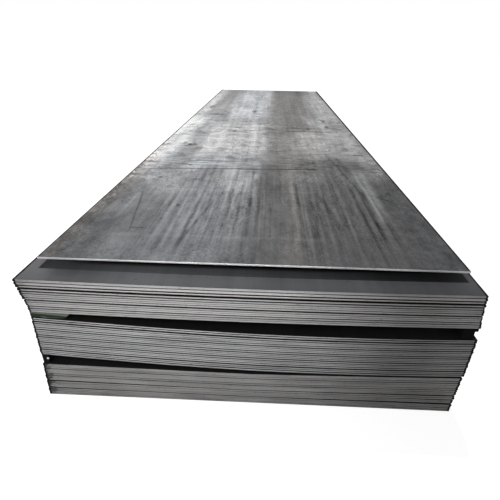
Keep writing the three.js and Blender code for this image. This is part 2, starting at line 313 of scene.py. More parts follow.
# Stains on the loose plate: X, Y, half length along X and along Y, strength.
STAINS = (
    (-0.530, -1.060, 0.030, 0.050, -0.60), (0.560, 0.120, 0.020, 0.080, -0.60),
    (0.565, -0.200, 0.022, 0.070, -0.60), (0.115, -1.820, 0.012, 0.014, -0.60),
    (0.660, -1.280, 0.045, 0.014, -0.50), (-0.432, -1.650, 0.016, 0.016, -0.60),
    (-0.650, 1.000, 0.035, 0.140, -0.40), (-0.520, 0.450, 0.070, 0.060, -0.40),
    (-0.132, 0.700, 0.030, 0.100, -0.35), (0.383, -0.300, 0.020, 0.050, -0.50),
    (-0.367, -2.380, 0.012, 0.020, -0.45), (-0.067, -2.390, 0.010, 0.020, -0.45),
    (-0.560, -1.930, 0.014, 0.016, -0.50), (-0.346, -1.950, 0.020, 0.014, -0.45),
    (-0.485, -2.660, 0.035, 0.010, -0.35), (-0.635, -2.560, 0.020, 0.030, 0.25),
    (-0.260, -0.470, 0.030, 0.050, -0.35), (0.300, -1.680, 0.030, 0.020, -0.50),
    (-0.615, -1.930, 0.030, 0.045, 0.35), (-0.556, -0.985, 0.016, 0.030, 0.45),
    (0.470, -1.560, 0.030, 0.030, -0.50), (0.330, -1.520, 0.024, 0.020, -0.45),
    (0.430, -1.720, 0.030, 0.016, -0.40),
)
# Marks across the loose plate: Y, lowest and highest X, half width, slope, and strength.
CROSS_MARKS = (
    (-2.73, -0.54, 0.26, 0.016, 0.00, 0.16), (-2.13, -0.47, 0.32, 0.010, 0.00, 0.16),
    (-1.70, -0.62, 0.34, 0.014, 0.07, -0.42), (-1.61, -0.38, 0.06, 0.012, 0.00, 0.20),
    (-1.56, -0.40, 0.02, 0.008, 0.01, 0.16), (-1.50, -0.34, 0.00, 0.008, 0.00, 0.14),
    (-0.93, -0.40, 0.35, 0.012, 0.00, -0.20), (-0.43, 0.22, 0.60, 0.022, -0.02, -0.40),
    (-1.555, 0.62, 0.68, 0.010, -1.05, -0.35), (-1.50, 0.60, 0.67, 0.008, -1.00, 0.25),
    (-0.30, -0.25, 0.50, 0.020, 0.00, -0.16), (-0.20, -0.22, 0.16, 0.020, 0.00, 0.14),
)
# Marks along the loose plate: front and rear Y, X at its front and rear end, half width,
# and strength.
LONG_MARKS = (
    (-2.68, -2.18, -0.504, -0.586, 0.005, -0.30), (-2.55, -2.20, -0.606, -0.597, 0.012, 0.22),
    (-2.71, -2.13, 0.524, 0.531, 0.014, -0.24), (-2.13, -1.39, 0.531, 0.449, 0.010, -0.24),
    (-2.62, -2.20, 0.360, 0.310, 0.016, -0.24), (-2.72, -2.30, 0.484, 0.476, 0.012, -0.28),
    (-2.50, -2.27, 0.278, 0.263, 0.012, -0.24), (-2.72, -2.25, -0.027, -0.031, 0.010, -0.28),
    (-2.85, -2.15, 0.032, 0.022, 0.006, -0.20), (-2.50, -1.88, 0.555, 0.578, 0.020, 0.18),
    (-2.75, -2.33, -0.275, -0.214, 0.008, -0.30), (-2.82, -2.33, -0.286, -0.276, 0.010, -0.24),
    (-2.69, -2.17, -0.195, -0.185, 0.008, -0.24), (-2.68, -2.20, -0.135, -0.125, 0.008, -0.24),
    (-2.09, -1.60, -0.162, -0.170, 0.022, 0.10), (-1.56, 0.30, -0.064, -0.111, 0.030, 0.10),
    (-2.37, -1.75, -0.030, -0.040, 0.008, -0.20), (-1.67, -1.40, 0.516, 0.500, 0.012, -0.24),
)
# Noise shifts a long mark within a band of this width.
FRAY = 0.012


def make_handled_face():
    """The loose plate's rolled face: bands along it, marks across it, smudges and specks."""
    group, given, out = new_group(
        "handled_rolled_face",
        [("Scale colour", COLOUR, grey(0.2)), ("Streaks", FLOAT, 0.15)],
        [("Colour", COLOUR), ("Roughness", FLOAT), ("Height", FLOAT)],
    )
    x, y, _, spot = object_place(group)
    drift = stretched_noise(group, spot, (0.25, 1.1, 9.0), detail=2.0, seed=1.0)
    ragged = stretched_noise(group, spot, (0.12, 0.45, 9.0), detail=3.0, seed=2.0)
    across = maths(group, "ADD", x, maths(group, "MULTIPLY_ADD", ragged, 0.10, -0.05))
    along = maths(group, "ADD", y, maths(group, "MULTIPLY_ADD", ragged, -0.5, 0.25))
    broad, warmth = 0.85, 0.0
    for left, right, front, rear, strength, warm in BROAD_MARKS:
        reach = 0.22 + 0.10 * (front + 3.4)
        side = min(0.10, 0.6 * (right - left))
        across_mark = window(group, across, left + 0.3 * side, right - 0.3 * side, side)
        along_mark = window(group, along, front + 0.4 * reach, rear - 0.4 * reach, reach)
        mark = maths(group, "MULTIPLY", across_mark, along_mark)
        broad = maths(group, "MULTIPLY_ADD", mark, strength, broad)
        if warm:
            warmth = maths(group, "MULTIPLY_ADD", mark, warm, warmth)

    # fine lengthwise streaks, strongest right of the middle and weak at the rear
    wander = maths(group, "MULTIPLY_ADD", ragged, 0.05, x)
    ripple = maths(group, "SINE", maths(group, "MULTIPLY", wander, 2.0 * math.pi / 0.047))
    thin = stretched_noise(group, spot, (0.016, 2.2, 9.0), detail=2.0, seed=3.0)
    hair = stretched_noise(group, spot, (0.005, 0.3, 9.0), detail=3.0, seed=5.0)
    gate = stretched_noise(group, spot, (0.055, 0.20, 9.0), detail=4.0, rough=0.65, seed=6.0)
    streak = maths(group, "MULTIPLY", ripple, spread(group, gate, 0.40, 0.62, -0.1, 1.1))
    streak = maths(group, "MULTIPLY_ADD", spread(group, thin, 0.35, 0.65, -1.0, 1.0), 0.6, streak)
    streak = maths(group, "MINIMUM", streak, 0.7)
    inner = maths(group, "MULTIPLY_ADD", window(group, x, -0.40, 0.52, 0.12), 0.8, 0.25)
    inner = maths(group, "MULTIPLY_ADD", window(group, x, 0.22, 0.54, 0.08), 0.5, inner)
    inner = maths(group, "MULTIPLY", inner, spread(group, along, -2.35, -1.40, 1.0, 0.14, smooth=True))
    inner = maths(group, "MULTIPLY", inner, spread(group, along, -2.95, -2.60, 0.45, 1.0, smooth=True))
    streak = maths(group, "MULTIPLY", maths(group, "MULTIPLY", streak, inner), given.outputs["Streaks"])
    tone = maths(group, "ADD", streak, maths(group, "MULTIPLY_ADD", hair, 0.24, -0.12))

    # marks across, broken up along their length
    broken = stretched_noise(group, spot, (0.05, 0.02, 9.0), detail=3.0, seed=8.0)
    broken = spread(group, broken, 0.35, 0.6, 0.25, 1.0)
    marks = 0.0
    for place, low, high, half, slope, strength in CROSS_MARKS:
        level = maths(group, "MULTIPLY_ADD", x, -slope, y)
        level = maths(group, "MULTIPLY_ADD", drift, 0.03, level)
        line = window(group, level, place - 0.4 * half + 0.015, place + 0.4 * half + 0.015, half)
        line = maths(group, "MULTIPLY", line, window(group, x, low, high, 0.10))
        marks = maths(group, "MULTIPLY_ADD", line, strength, marks)
    tone = maths(group, "ADD", tone, maths(group, "MULTIPLY", marks, broken))

    # marks along, shifted by the streaks' noise
    for front, rear, front_x, rear_x, half, strength in LONG_MARKS:
        centre = spread(group, y, front, rear, front_x - 0.5 * FRAY, rear_x - 0.5 * FRAY)
        centre = maths(group, "MULTIPLY_ADD", gate, FRAY, centre)
        line = window(group, maths(group, "SUBTRACT", x, centre), -0.3 * half, 0.3 * half, half)
        line = maths(group, "MULTIPLY", line, window(group, y, front + 0.03, rear - 0.03, 0.08))
        tone = maths(group, "MULTIPLY_ADD", line, strength, tone)

    # single stains with ragged rims
    fray = stretched_noise(group, spot, (0.03, 0.05, 9.0), detail=5.0, rough=0.75, seed=10.0)
    for left, front, half_x, half_y, strength in STAINS:
        offset = wire(group, "ShaderNodeVectorMath", {0: spot, 1: (left, front, 0.0)}, operation="SUBTRACT")
        scale = (1.0 / half_x, 1.0 / half_y, 0.0)
        away = wire(group, "ShaderNodeVectorMath", {0: offset.outputs[0], 1: scale}, operation="MULTIPLY")
        away = wire(group, "ShaderNodeVectorMath", {0: away.outputs[0]}, operation="LENGTH").outputs["Value"]
        away = maths(group, "MULTIPLY_ADD", fray, 5.0, away)
        stain = spread(group, away, 2.6, 4.0, 0.9 * strength, 0.0, smooth=True)
        tone = maths(group, "ADD", tone, stain)

    # smudges in loose rows, salt and pepper wear, and small dark specks
    smudge = stretched_noise(group, spot, (0.09, 0.10, 9.0), detail=5.0, rough=0.6, seed=9.0)
    rows = maths(group, "ADD", window(group, y, -1.35, -1.05, 0.25), window(group, y, -0.62, -0.1, 0.3))
    rows = maths(group, "MULTIPLY_ADD", rows, 0.25, 0.22)
    smudge = maths(group, "MULTIPLY", spread(group, smudge, 0.50, 0.72), rows)
    grain = stretched_noise(group, spot, (0.008, 0.014, 9.0), detail=3.0, rough=0.7, seed=12.0)
    worn = stretched_noise(group, spot, (0.30, 0.35, 9.0), detail=3.0, seed=14.0)
    pepper = maths(group, "SUBTRACT", grain, 0.5)
    pepper = maths(group, "MULTIPLY", pepper, spread(group, worn, 0.42, 0.62, 0.45, 1.5))
    flakes = stretched_noise(group, spot, (0.035, 0.07, 9.0), detail=6.0, rough=0.7, seed=25.0)
    rims = maths(group, "MAXIMUM", spread(group, x, 0.52, 0.66), spread(group, x, -0.70, -0.58, 1.0, 0.0))
    rims = maths(group, "MULTIPLY_ADD", rims, spread(group, y, -1.75, -1.35, 1.1, 0.2), 0.7)
    pepper = maths(group, "MULTIPLY_ADD", maths(group, "SUBTRACT", flakes, 0.5), rims, pepper)
    rubbed = window(group, x, 0.20, 0.50, 0.06)
    rubbed = maths(group, "MULTIPLY", rubbed, window(group, y, -2.05, -1.42, 0.10))
    frayed = maths(group, "SUBTRACT", fray, 0.5)
    pepper = maths(group, "MULTIPLY_ADD", frayed, maths(group, "MULTIPLY", rubbed, 1.1), pepper)
    scored = stretched_noise(group, spot, (0.16, 0.013, 9.0), detail=3.0, rough=0.6, seed=27.0)
    scored = maths(group, "SUBTRACT", scored, 0.52)
    reached = window(group, along, -1.68, -1.42, 0.12)
    reached = maths(group, "MAXIMUM", reached, spread(group, along, -1.5, -1.2, 0.0, 0.55))
    scored = maths(group, "MULTIPLY", scored, reached)
    pepper = maths(group, "MULTIPLY_ADD", scored, 1.6, pepper)
    specks = stretched_noise(group, spot, (0.010, 0.016, 9.0), detail=2.0, rough=0.5, seed=17.0)
    cluster = stretched_noise(group, spot, (0.14, 0.20, 9.0), detail=2.0, seed=19.0)
    specks = spread(group, specks, 0.66, 0.72)
    specks = maths(group, "MULTIPLY", specks, spread(group, cluster, 0.46, 0.58, 0.1, 1.0))
    clouds = stretched_noise(group, spot, (0.16, 0.30, 9.0), detail=5.0, rough=0.6, seed=21.0)
    bands = stretched_noise(group, spot, (0.07, 1.6, 9.0), detail=1.0, rough=0.4, seed=29.0)
    for softer, front_share, rear_share in ((clouds, 0.7, 0.3), (bands, 0.0, 0.4)):
        softer = maths(group, "SUBTRACT", softer, 0.5)
        share = spread(group, y, -1.6, -1.2, front_share, rear_share)
        tone = maths(group, "MULTIPLY_ADD", softer, share, tone)
    tone = maths(group, "ADD", tone, pepper)
    tone = maths(group, "MULTIPLY_ADD", smudge, -0.5, tone)
    tone = maths(group, "MULTIPLY_ADD", specks, -0.7, tone)
    tone = maths(group, "MAXIMUM", maths(group, "ADD", tone, 1.0), 0.12)
    tone = maths(group, "MULTIPLY", tone, broad)

    # rusty dust along the left edge, and along both long edges a near-black line of painted shade
    from_left = maths(group, "SUBTRACT", x, LOOSE_LOW.x)
    from_right = maths(group, "SUBTRACT", LOOSE_HIGH.x, x)
    margin_tone = stretched_noise(group, spot, (0.02, 0.05, 9.0), detail=5.0, rough=0.7, seed=23.0)
    dusty = maths(group, "MULTIPLY_ADD", ragged, 0.10, from_left)
    dusty = spread(group, dusty, 0.075, 0.125, 1.0, 0.0, smooth=True)
    dusty = maths(group, "MULTIPLY", dusty, spread(group, y, -1.2, -0.4, 1.0, 0.2))
    warmth = maths(group, "MULTIPLY_ADD", dusty, 0.07, warmth)
    pale = spread(group, margin_tone, 0.42, 0.62, -0.30, 0.60)
    pale = maths(group, "MULTIPLY", pale, window(group, y, -2.35, -1.0, 0.3))
    tone = maths(group, "MULTIPLY_ADD", maths(group, "MULTIPLY", pale, dusty), tone, tone)
    # painted shade: a near-black line along each long edge, wider towards the rear
    for inset, near, far in ((from_left, 0.008, 0.016), (from_right, 0.0095, 0.030)):
        inset = maths(group, "MULTIPLY_ADD", hair, 0.003, inset)
        inset = maths(group, "SUBTRACT", inset, spread(group, y, LOOSE_LOW.y, LOOSE_HIGH.y, near, far))
        tone = maths(group, "MULTIPLY", tone, spread(group, inset, -0.001, 0.001, 0.04, 1.0))
    red = maths(group, "ADD", warmth, 1.0)
    blue = maths(group, "SUBTRACT", 1.0, warmth)
    tint = wire(group, "ShaderNodeCombineColor", {0: red, 1: 1.0, 2: blue})
    colour = blend(group, 1.0, given.outputs["Scale colour"], tint.outputs[0], "MULTIPLY")
    group.links.new(brighten(group, colour, tone), out.inputs["Colour"])

    # the darker the scale, the duller it is
    dull = spread(group, tone, 0.35, 1.25, 0.64, 0.25)
    dull = maths(group, "MAXIMUM", dull, spread(group, tone, 0.06, 0.3, 1.0, 0.0))
    group.links.new(dull, out.inputs["Roughness"])
    height = maths(group, "MULTIPLY_ADD", specks, -1.0, grain)
    group.links.new(maths(group, "MULTIPLY_ADD", hair, 0.5, height), out.inputs["Height"])
    return group


# ---------------------------------------------------------------- finishes

# Each pack's cut ends. Bright is their brightness, swing how far its plates differ in it,
# warm their warmth, and rim how far their rims are rolled over. Soil is on the left
# corners; painted shade lies to the right and in a band near the right end. Grime and
# painted shade in the rims are given at the left and at the right.
PACK_LOOKS = {
    "upper_pack": {
        "bright": 1.0, "swing": 0.10, "warm": 0.005, "corner_soil": 0.25, "right_shade": 0.0,
        "right_shade_band": 0.14, "rim": 0.7, "rim_grime_and_shade": (0.85, 0.9),
    },
    "middle_pack": {
        "bright": 1.02, "swing": 0.05, "warm": -0.005, "corner_soil": 0.0, "right_shade": 0.18,
        "right_shade_band": 0.17, "rim": 0.8, "rim_grime_and_shade": (0.85, 0.85),
    },
    "lower_pack": {
        "bright": 0.80, "swing": 0.06, "warm": 0.01, "corner_soil": 0.9, "right_shade": 0.0,
        "right_shade_band": 0.04, "rim": 0.25, "rim_grime_and_shade": (0.3, 0.85),
    },
}
# Plates whose rims are rolled over more or less than their pack's.
WORN_RIMS = {
    "upper_pack_plate_11": 2.0, "upper_pack_plate_12": 2.2, "upper_pack_plate_13": 0.4,
    "middle_pack_plate_18": 1.4, "middle_pack_plate_19": 1.6, "middle_pack_plate_20": 1.4,
}
# How far the plates of a pack differ in their rolled faces and in the warmth of their ends.
SCALE_SWING = 0.1
TINT_SWING = 0.012
# Brightness of the upper pack's top face and of the loose plate's ends, against the rest; the loose plate's
# bright ends are a painted highlight.
TOP_PLATE_LIFT = 0.95
LOOSE_CUT_HIGHLIGHT = 2.8
# Near-black colour of the grime and painted shade in the rims and between the plates, and of a dark line
# along the sides.
GRIME_AND_SHADE = (0.012, 0.011, 0.010, 1.0)
# How much brighter and warmer than the rolled faces the long edges are.
LONG_EDGE_LIFT = (1.75, 1.6, 1.45)
# Timbers: grain size, darkest and lightest colour, and for the tarred one its gloss. Then
# the colours of the painted shade and the painted glint low on the grey green timber, and of a knot.
SAWN = ((0.3, 0.004, 0.004), (0.05, 0.04, 0.03), (0.14, 0.115, 0.09))
GREEN = ((0.12, 0.004, 0.003), (0.062, 0.068, 0.058), (0.10, 0.108, 0.093))
TARRED = ((0.05, 0.02, 0.003), (0.002, 0.002, 0.002), (0.006, 0.006, 0.0055), 0.08)
GREEN_SHADE = (0.008, 0.014, 0.008, 1.0)
GREEN_GLINT = (0.10, 0.24, 0.10, 1.0)
KNOT = (0.45, 0.45, 0.44, 1.0)
# Radius of the rims of the timbers and of the loose plate's ends.
TIMBER_RIM = 0.0015
LOOSE_RIM = 0.0006
# How far in front of the loose plate's end the painted shadow begins.
PAINTED_SHADOW_REACH = 0.014
# Corners this close are joined, faces within this many degrees count as flat, and edges
# sharper than this many degrees are rounded.
JOIN_REACH = 0.00001
FLAT_ANGLE = 0.05
SHARP_ANGLE = 60


def plate_material(name, groups, face, cut_values, bareness, rim_grime_and_shade, shut_in_grime_and_shade=0.0, sides=None):
    """Hot-rolled plate: a rolled face group with its inputs, bare cut ends, and near-black
    grime and painted shade on the rims and on broad faces that are shut in by their neighbours, and a dark
    line along the sides."""
    material, tree, shader = new_material(name)
    masks = use_group(tree, groups["masks"])
    scale = use_group(tree, *face)
    cut = use_group(tree, groups["cut"], cut_values)
    cut_mask = masks.outputs["Cut end"]
    colour = blend(tree, cut_mask, scale.outputs["Colour"], cut.outputs["Colour"])
    x, _, _, _ = object_place(tree)
    # grime and painted shade in the rims, standing in for the shade between the plates' ends
    dirt_and_shade = maths(tree, "MULTIPLY", masks.outputs["Rim"], spread(tree, x, -0.3, 0.5, *rim_grime_and_shade))
    edge = {0: scale.outputs["Colour"], 1: LONG_EDGE_LIFT}
    edge = wire(tree, "ShaderNodeVectorMath", edge, operation="MULTIPLY")
    colour = blend(tree, masks.outputs["Long edge"], colour, edge.outputs[0])
    # grime and painted shade on broad faces shut in between plates
    if shut_in_grime_and_shade:
        dirt_and_shade = maths(tree, "MULTIPLY_ADD", masks.outputs["Broad face"], shut_in_grime_and_shade, dirt_and_shade, clamp=True)
    if sides:
        side_darkening = use_group(tree, groups["sides"], sides)
        off_edge = maths(tree, "SUBTRACT", 0.9, masks.outputs["Long edge"], clamp=True)
        dirt_and_shade = maths(tree, "MAXIMUM", dirt_and_shade, maths(tree, "MULTIPLY", side_darkening.outputs["Mask"], off_edge))
    colour = blend(tree, dirt_and_shade, colour, GRIME_AND_SHADE)
    tree.links.new(colour, shader.inputs["Base Color"])
    rough = wire(
        tree, "ShaderNodeMix", {0: cut_mask, 2: scale.outputs["Roughness"], 3: cut.outputs["Roughness"]}
    )
    rough = wire(tree, "ShaderNodeMix", {0: dirt_and_shade, 2: rough.outputs[0], 3: 0.95})
    tree.links.new(rough.outputs[0], shader.inputs["Roughness"])
    height = wire(tree, "ShaderNodeMix", {0: cut_mask, 2: scale.outputs["Height"], 3: cut.outputs["Height"]})
    bump = wire(tree, "ShaderNodeBump", {"Strength": 0.25, "Distance": 0.0006, "Height": height.outputs[0]})
    tree.links.new(bump.outputs[0], shader.inputs["Normal"])
    metal = wire(tree, "ShaderNodeMix", {0: cut_mask, 2: bareness, 3: 0.7})
    metal = wire(tree, "ShaderNodeMix", {0: dirt_and_shade, 2: metal.outputs[0], 3: 1.0})
    tree.links.new(metal.outputs[0], shader.inputs["Metallic"])
    return material


def dress(node, material, rollover, segments=3):
    """Gives a CAD piece its finish and rounds its sharp edges."""
    node.data.materials.clear()
    node.data.materials.append(material)
    node.modifiers.clear()
    weld = node.modifiers.new("joined corners", "WELD")
    weld.merge_threshold = JOIN_REACH
    flat = node.modifiers.new("whole flat faces", "DECIMATE")
    flat.decimate_type = "DISSOLVE"
    flat.angle_limit = math.radians(FLAT_ANGLE)
    rim = node.modifiers.new("rolled over rims", "BEVEL")
    rim.width = rollover
    rim.segments = segments
    rim.limit_method = "ANGLE"
    rim.angle_limit = math.radians(SHARP_ANGLE)
    rim.use_clamp_overlap = False


def deselect_all():
    """Leaves nothing selected, so that the next operator acts on new work alone."""
    bpy.ops.object.select_all(action="DESELECT")


# ---------------------------------------------------------------- properties


class PlateFinish(bpy.types.PropertyGroup):
    """Finish of the plates."""

    scale_colour: FloatVectorProperty(
        name="Mill scale", description="Colour of the rolled faces", subtype="COLOR", size=4,
        default=(0.105, 0.107, 0.114, 1.0), min=0.0, max=1.0,
    )
    loose_colour: FloatVectorProperty(
        name="Loose plate", description="Colour of the loose plate's rolled faces", subtype="COLOR", size=4,
        default=(0.325, 0.325, 0.33, 1.0), min=0.0, max=1.0,
    )
    cut_colour: FloatVectorProperty(
        name="Cut steel", description="Colour of the bare cut ends", subtype="COLOR", size=4,
        default=(0.30, 0.30, 0.30, 1.0), min=0.0, max=1.0,
    )
    rollover: FloatProperty(
        name="Rollover", description="Radius of the rims of the cut ends", unit="LENGTH",
        default=0.0016, min=0.0002, max=0.003, precision=4,
    )
    tones: IntProperty(
        name="Tones", description="How many shades the plates of a pack alternate between",
        default=6, min=1, max=12,
    )


class StageLook(bpy.types.PropertyGroup):
    """Look of the floor and the camera."""

    floor_colour: FloatVectorProperty(
        name="Floor", description="Colour of the floor", subtype="COLOR", size=4,
        default=(0.32, 0.32, 0.32, 1.0), min=0.0, max=1.0,
    )
    lens: FloatProperty(
        name="Lens", description="Focal length of the camera", unit="CAMERA",
        default=30.04, min=10.0, max=200.0,
    )


# ---------------------------------------------------------------- operators


class STACK_OT_dress_packs(bpy.types.Operator):
    """Finishes the plates of the three packs"""

    bl_idname = "stack.dress_packs"
    bl_label = "Dress the packs"
    bl_options = {"REGISTER", "UNDO"}

    def execute(self, context):
        look = context.scene.stack_plates
        groups = {
            "masks": make_face_masks(),
            "scale": make_mill_scale(),
            "cut": make_cut_steel(),
            "sides": make_side_darkening(),
        }
        for pack, ways in PACK_LOOKS.items():
            plates = [n for n in sorted(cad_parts) if n.startswith(pack)]
            if not plates:
                raise RuntimeError(f"{pack} has no plates")
            (first_low, first_high), (last_low, last_high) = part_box(plates[0]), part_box(plates[-1])
            sides = {
                "Bottom": first_high.z, "Top": last_high.z, "Left below": first_low.x,
                "Left above": last_low.x, "Right below": first_high.x, "Right above": last_high.x,
            }
            materials = []
            for k in range(look.tones):
                turn = math.sin(2.4 * k)
                cut = [c * ways["bright"] * (1.0 + ways["swing"] * turn) for c in look.cut_colour[:3]]
                tint = ways["warm"] + TINT_SWING * math.cos(1.9 * k)
                cut = (cut[0] * (1.0 + tint), cut[1], cut[2] * (1.0 - tint), 1.0)
                scale = scaled(look.scale_colour, 1.0 + SCALE_SWING * turn)
                seed = 1.3 * k
                rolled = {"Scale colour": scale, "Streaks": 0.07, "Mottle": 0.3, "Seed": seed}
                face = (groups["scale"], rolled)
                ends = {
                    "Cut colour": cut, "Smear": 0.35, "Corner soil": ways["corner_soil"],
                    "Right shade": ways["right_shade"], "Right shade band": ways["right_shade_band"], "Seed": seed,
                }
                name = f"{pack} tone {k + 1}"
                materials.append(plate_material(name, groups, face, ends, 0.35, ways["rim_grime_and_shade"], 0.7, sides))
            for k, name in enumerate(plates):
                worn = ways["rim"] * WORN_RIMS.get(name, 1.0)
                material = materials[(5 * k + k // 4) % len(materials)]
                dress(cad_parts[name], material, look.rollover * worn)
            if pack == "upper_pack":
                # the top plate takes the last tone's ends, and a face of its own with a painted shadow under
                # the loose plate
                rolled["Scale colour"] = scaled(look.scale_colour, TOP_PLATE_LIFT)
                name = "upper_pack top plate"
                bare = plate_material(name, groups, face, ends, 0.12, ways["rim_grime_and_shade"], 0.0, sides)
                self.paint_shadow_and_margin_light(bare)
                dress(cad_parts[plates[-1]], bare, look.rollover * ways["rim"] * 0.4)
        return {"FINISHED"}

    def paint_shadow_and_margin_light(self, material):
        """Painted light and shade across the top plate's open margins, and a painted shadow of darker scale
        where the loose plate covers it.
        """
        tree = material.node_tree
        shader = tree.nodes["Principled BSDF"]
        x, y, _, _ = object_place(tree)
        # painted shadow: starts just in front of the loose plate's end, darker towards its rear and at its
        # ends
        lip = LOOSE_LOW.y - PAINTED_SHADOW_REACH
        covered = window(tree, x, LOOSE_LOW.x + 0.006, LOOSE_HIGH.x - 0.006, 0.004)
        covered = maths(tree, "MULTIPLY", covered, spread(tree, y, lip - 0.002, lip))
        deep = spread(tree, y, lip + 0.044, lip + 0.070, 0.0, 0.85)
        ends = spread(tree, x, -0.745, -0.60, 0.6, 0.0)
        ends = maths(tree, "MAXIMUM", ends, spread(tree, x, 0.20, 0.65, 0.0, 0.5))
        ends = maths(tree, "MULTIPLY", covered, ends)
        shade = maths(tree, "MAXIMUM", maths(tree, "MULTIPLY", covered, deep), ends)
        shade = maths(tree, "SUBTRACT", 1.0, shade)
        # painted light and shade on the open margin: lighter and darker across it, and lighter towards the
        # loose plate
        margin_tone = maths(tree, "MULTIPLY_ADD", window(tree, x, -0.34, -0.12, 0.25), 0.38, 0.66)
        margin_tone = maths(tree, "MULTIPLY_ADD", window(tree, x, 0.05, 0.36, 0.15), 0.20, margin_tone)
        margin_tone = maths(tree, "ADD", margin_tone, spread(tree, x, 0.45, 0.60, 0.0, -0.08))
        margin_tone = maths(tree, "ADD", margin_tone, spread(tree, x, -0.76, -0.50, -0.18, 0.0))
        margin_tone = maths(tree, "MULTIPLY", margin_tone, spread(tree, y, PACK_FRONT, lip, 0.88, 1.16))
        scale = maths(tree, "MULTIPLY", shade, margin_tone)
        steel = shader.inputs["Base Color"].links[0].from_socket
        lit = brighten(tree, steel, scale)
        faces = [n for n in tree.nodes if n.type == "GROUP" and n.node_tree.name == "plate_face_masks"][0]
        colour = blend(tree, faces.outputs["Broad face"], steel, lit)
        tree.links.new(colour, shader.inputs["Base Color"])
        # at the painted shadow's ends the scale is also made duller and wholly metallic, which darkens it
        # further
        ends = maths(tree, "MULTIPLY", ends, faces.outputs["Broad face"])
        for name, value in (("Roughness", 0.95), ("Metallic", 1.0)):
            own = shader.inputs[name].links[0].from_socket
            dull = wire(tree, "ShaderNodeMix", {0: ends, 2: own, 3: value})
            tree.links.new(dull.outputs[0], shader.inputs[name])


class STACK_OT_dress_loose_plate(bpy.types.Operator):
    """Finishes the loose plate on top"""

    bl_idname = "stack.dress_loose_plate"
    bl_label = "Dress the loose plate"
    bl_options = {"REGISTER", "UNDO"}

    def execute(self, context):
        look = context.scene.stack_plates
        groups = {
            "masks": bpy.data.node_groups["plate_face_masks"],
            "scale": bpy.data.node_groups["rolled_mill_scale"],
            "cut": bpy.data.node_groups["cut_steel_end"],
        }
        face = (make_handled_face(), {"Scale colour": look.loose_colour, "Streaks": 0.22})
        # the loose plate's ends are made far brighter than the other cut ends, a painted highlight
        cut = scaled(look.cut_colour, LOOSE_CUT_HIGHLIGHT)
        ends = {"Cut colour": cut, "Smear": 0.35, "Seed": 20.0}
        material = plate_material("loose plate", groups, face, ends, 0.8, (0.0, 0.0))
        dress(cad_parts["loose_top_plate"], material, LOOSE_RIM)
        return {"FINISHED"}


class STACK_OT_dress_packing(bpy.types.Operator):
    """Finishes the timbers between and on the packs"""

    bl_idname = "stack.dress_packing"
    bl_label = "Dress the packing"
    bl_options = {"REGISTER", "UNDO"}

    def execute(self, context):
        timber = self.timber("dark sawn timber", *SAWN)
        black = self.timber("tarred timber", *TARRED)
        green = self.green_timber()
        knot = self.knotted_timber()
        chosen = {"front_left_packing": green, "front_right_packing": black, "lower_left_packing": knot}
        for name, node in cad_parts.items():
            if name in chosen or "bearer" in name or "batten" in name:
                dress(node, chosen.get(name, timber), TIMBER_RIM, segments=2)
        return {"FINISHED"}

    def timber(self, name, grain_size, dark, light, gloss=0.3):
        """Sawn timber whose grain has this size."""
        material, tree, shader = new_material(name)
        shader.inputs["Specular IOR Level"].default_value = gloss
        _, _, _, spot = object_place(tree)
        grain = stretched_noise(tree, spot, grain_size, detail=4.0, distort=0.6)
        colour = blend(tree, spread(tree, grain, 0.3, 0.7), (*dark, 1.0), (*light, 1.0))
        tree.links.new(colour, shader.inputs["Base Color"])
        tree.links.new(spread(tree, grain, 0.2, 0.8, 0.75, 0.95), shader.inputs["Roughness"])
        bump = wire(tree, "ShaderNodeBump", {"Strength": 0.5, "Distance": 0.001, "Height": grain})
        tree.links.new(bump.outputs[0], shader.inputs["Normal"])
        return material

    def green_timber(self):
        """Grey paint above, and below a line that falls to the right, painted shade in green black with a
        painted green glint.
        """
        material = self.timber("grey green timber", *GREEN)
        tree = material.node_tree
        shader = tree.nodes["Principled BSDF"]
        x, _, z, spot = object_place(tree)
        ragged = stretched_noise(tree, spot, (0.03, 0.03, 0.006), detail=4.0, seed=3.0)
        # painted shade: green black below a line that falls to the right, with a painted green glint near the
        # bottom
        line = spread(tree, x, GREEN_LOW.x, GREEN_HIGH.x, GREEN_HIGH.z - 0.0065, GREEN_LOW.z + 0.012)
        above = maths(tree, "SUBTRACT", maths(tree, "MULTIPLY_ADD", ragged, 0.004, z), line)
        painted = shader.inputs["Base Color"].links[0].from_socket
        colour = blend(tree, spread(tree, above, 0.001, 0.003), GREEN_SHADE, painted)
        glint = window(tree, above, -0.0125, -0.0095, 0.001)
        glint = maths(tree, "MULTIPLY", glint, window(tree, x, GREEN_LOW.x + 0.05, GREEN_HIGH.x - 0.04, 0.02))
        colour = blend(tree, glint, colour, GREEN_GLINT)
        tree.links.new(colour, shader.inputs["Base Color"])
        return material

    def knotted_timber(self):
        """Black timber with one pale round knot in its end."""
        material = self.timber("knotted timber", *TARRED)
        tree = material.node_tree
        shader = tree.nodes["Principled BSDF"]
        _, _, _, spot = object_place(tree)
        away = wire(tree, "ShaderNodeVectorMath", {0: spot, 1: KNOT_PLACE}, operation="DISTANCE")
        away = away.outputs["Value"]
        bare = spread(tree, away, 0.003, 0.006, 1.0, 0.0, smooth=True)
        dark = shader.inputs["Base Color"].links[0].from_socket
        tree.links.new(blend(tree, bare, dark, KNOT), shader.inputs["Base Color"])
        return material


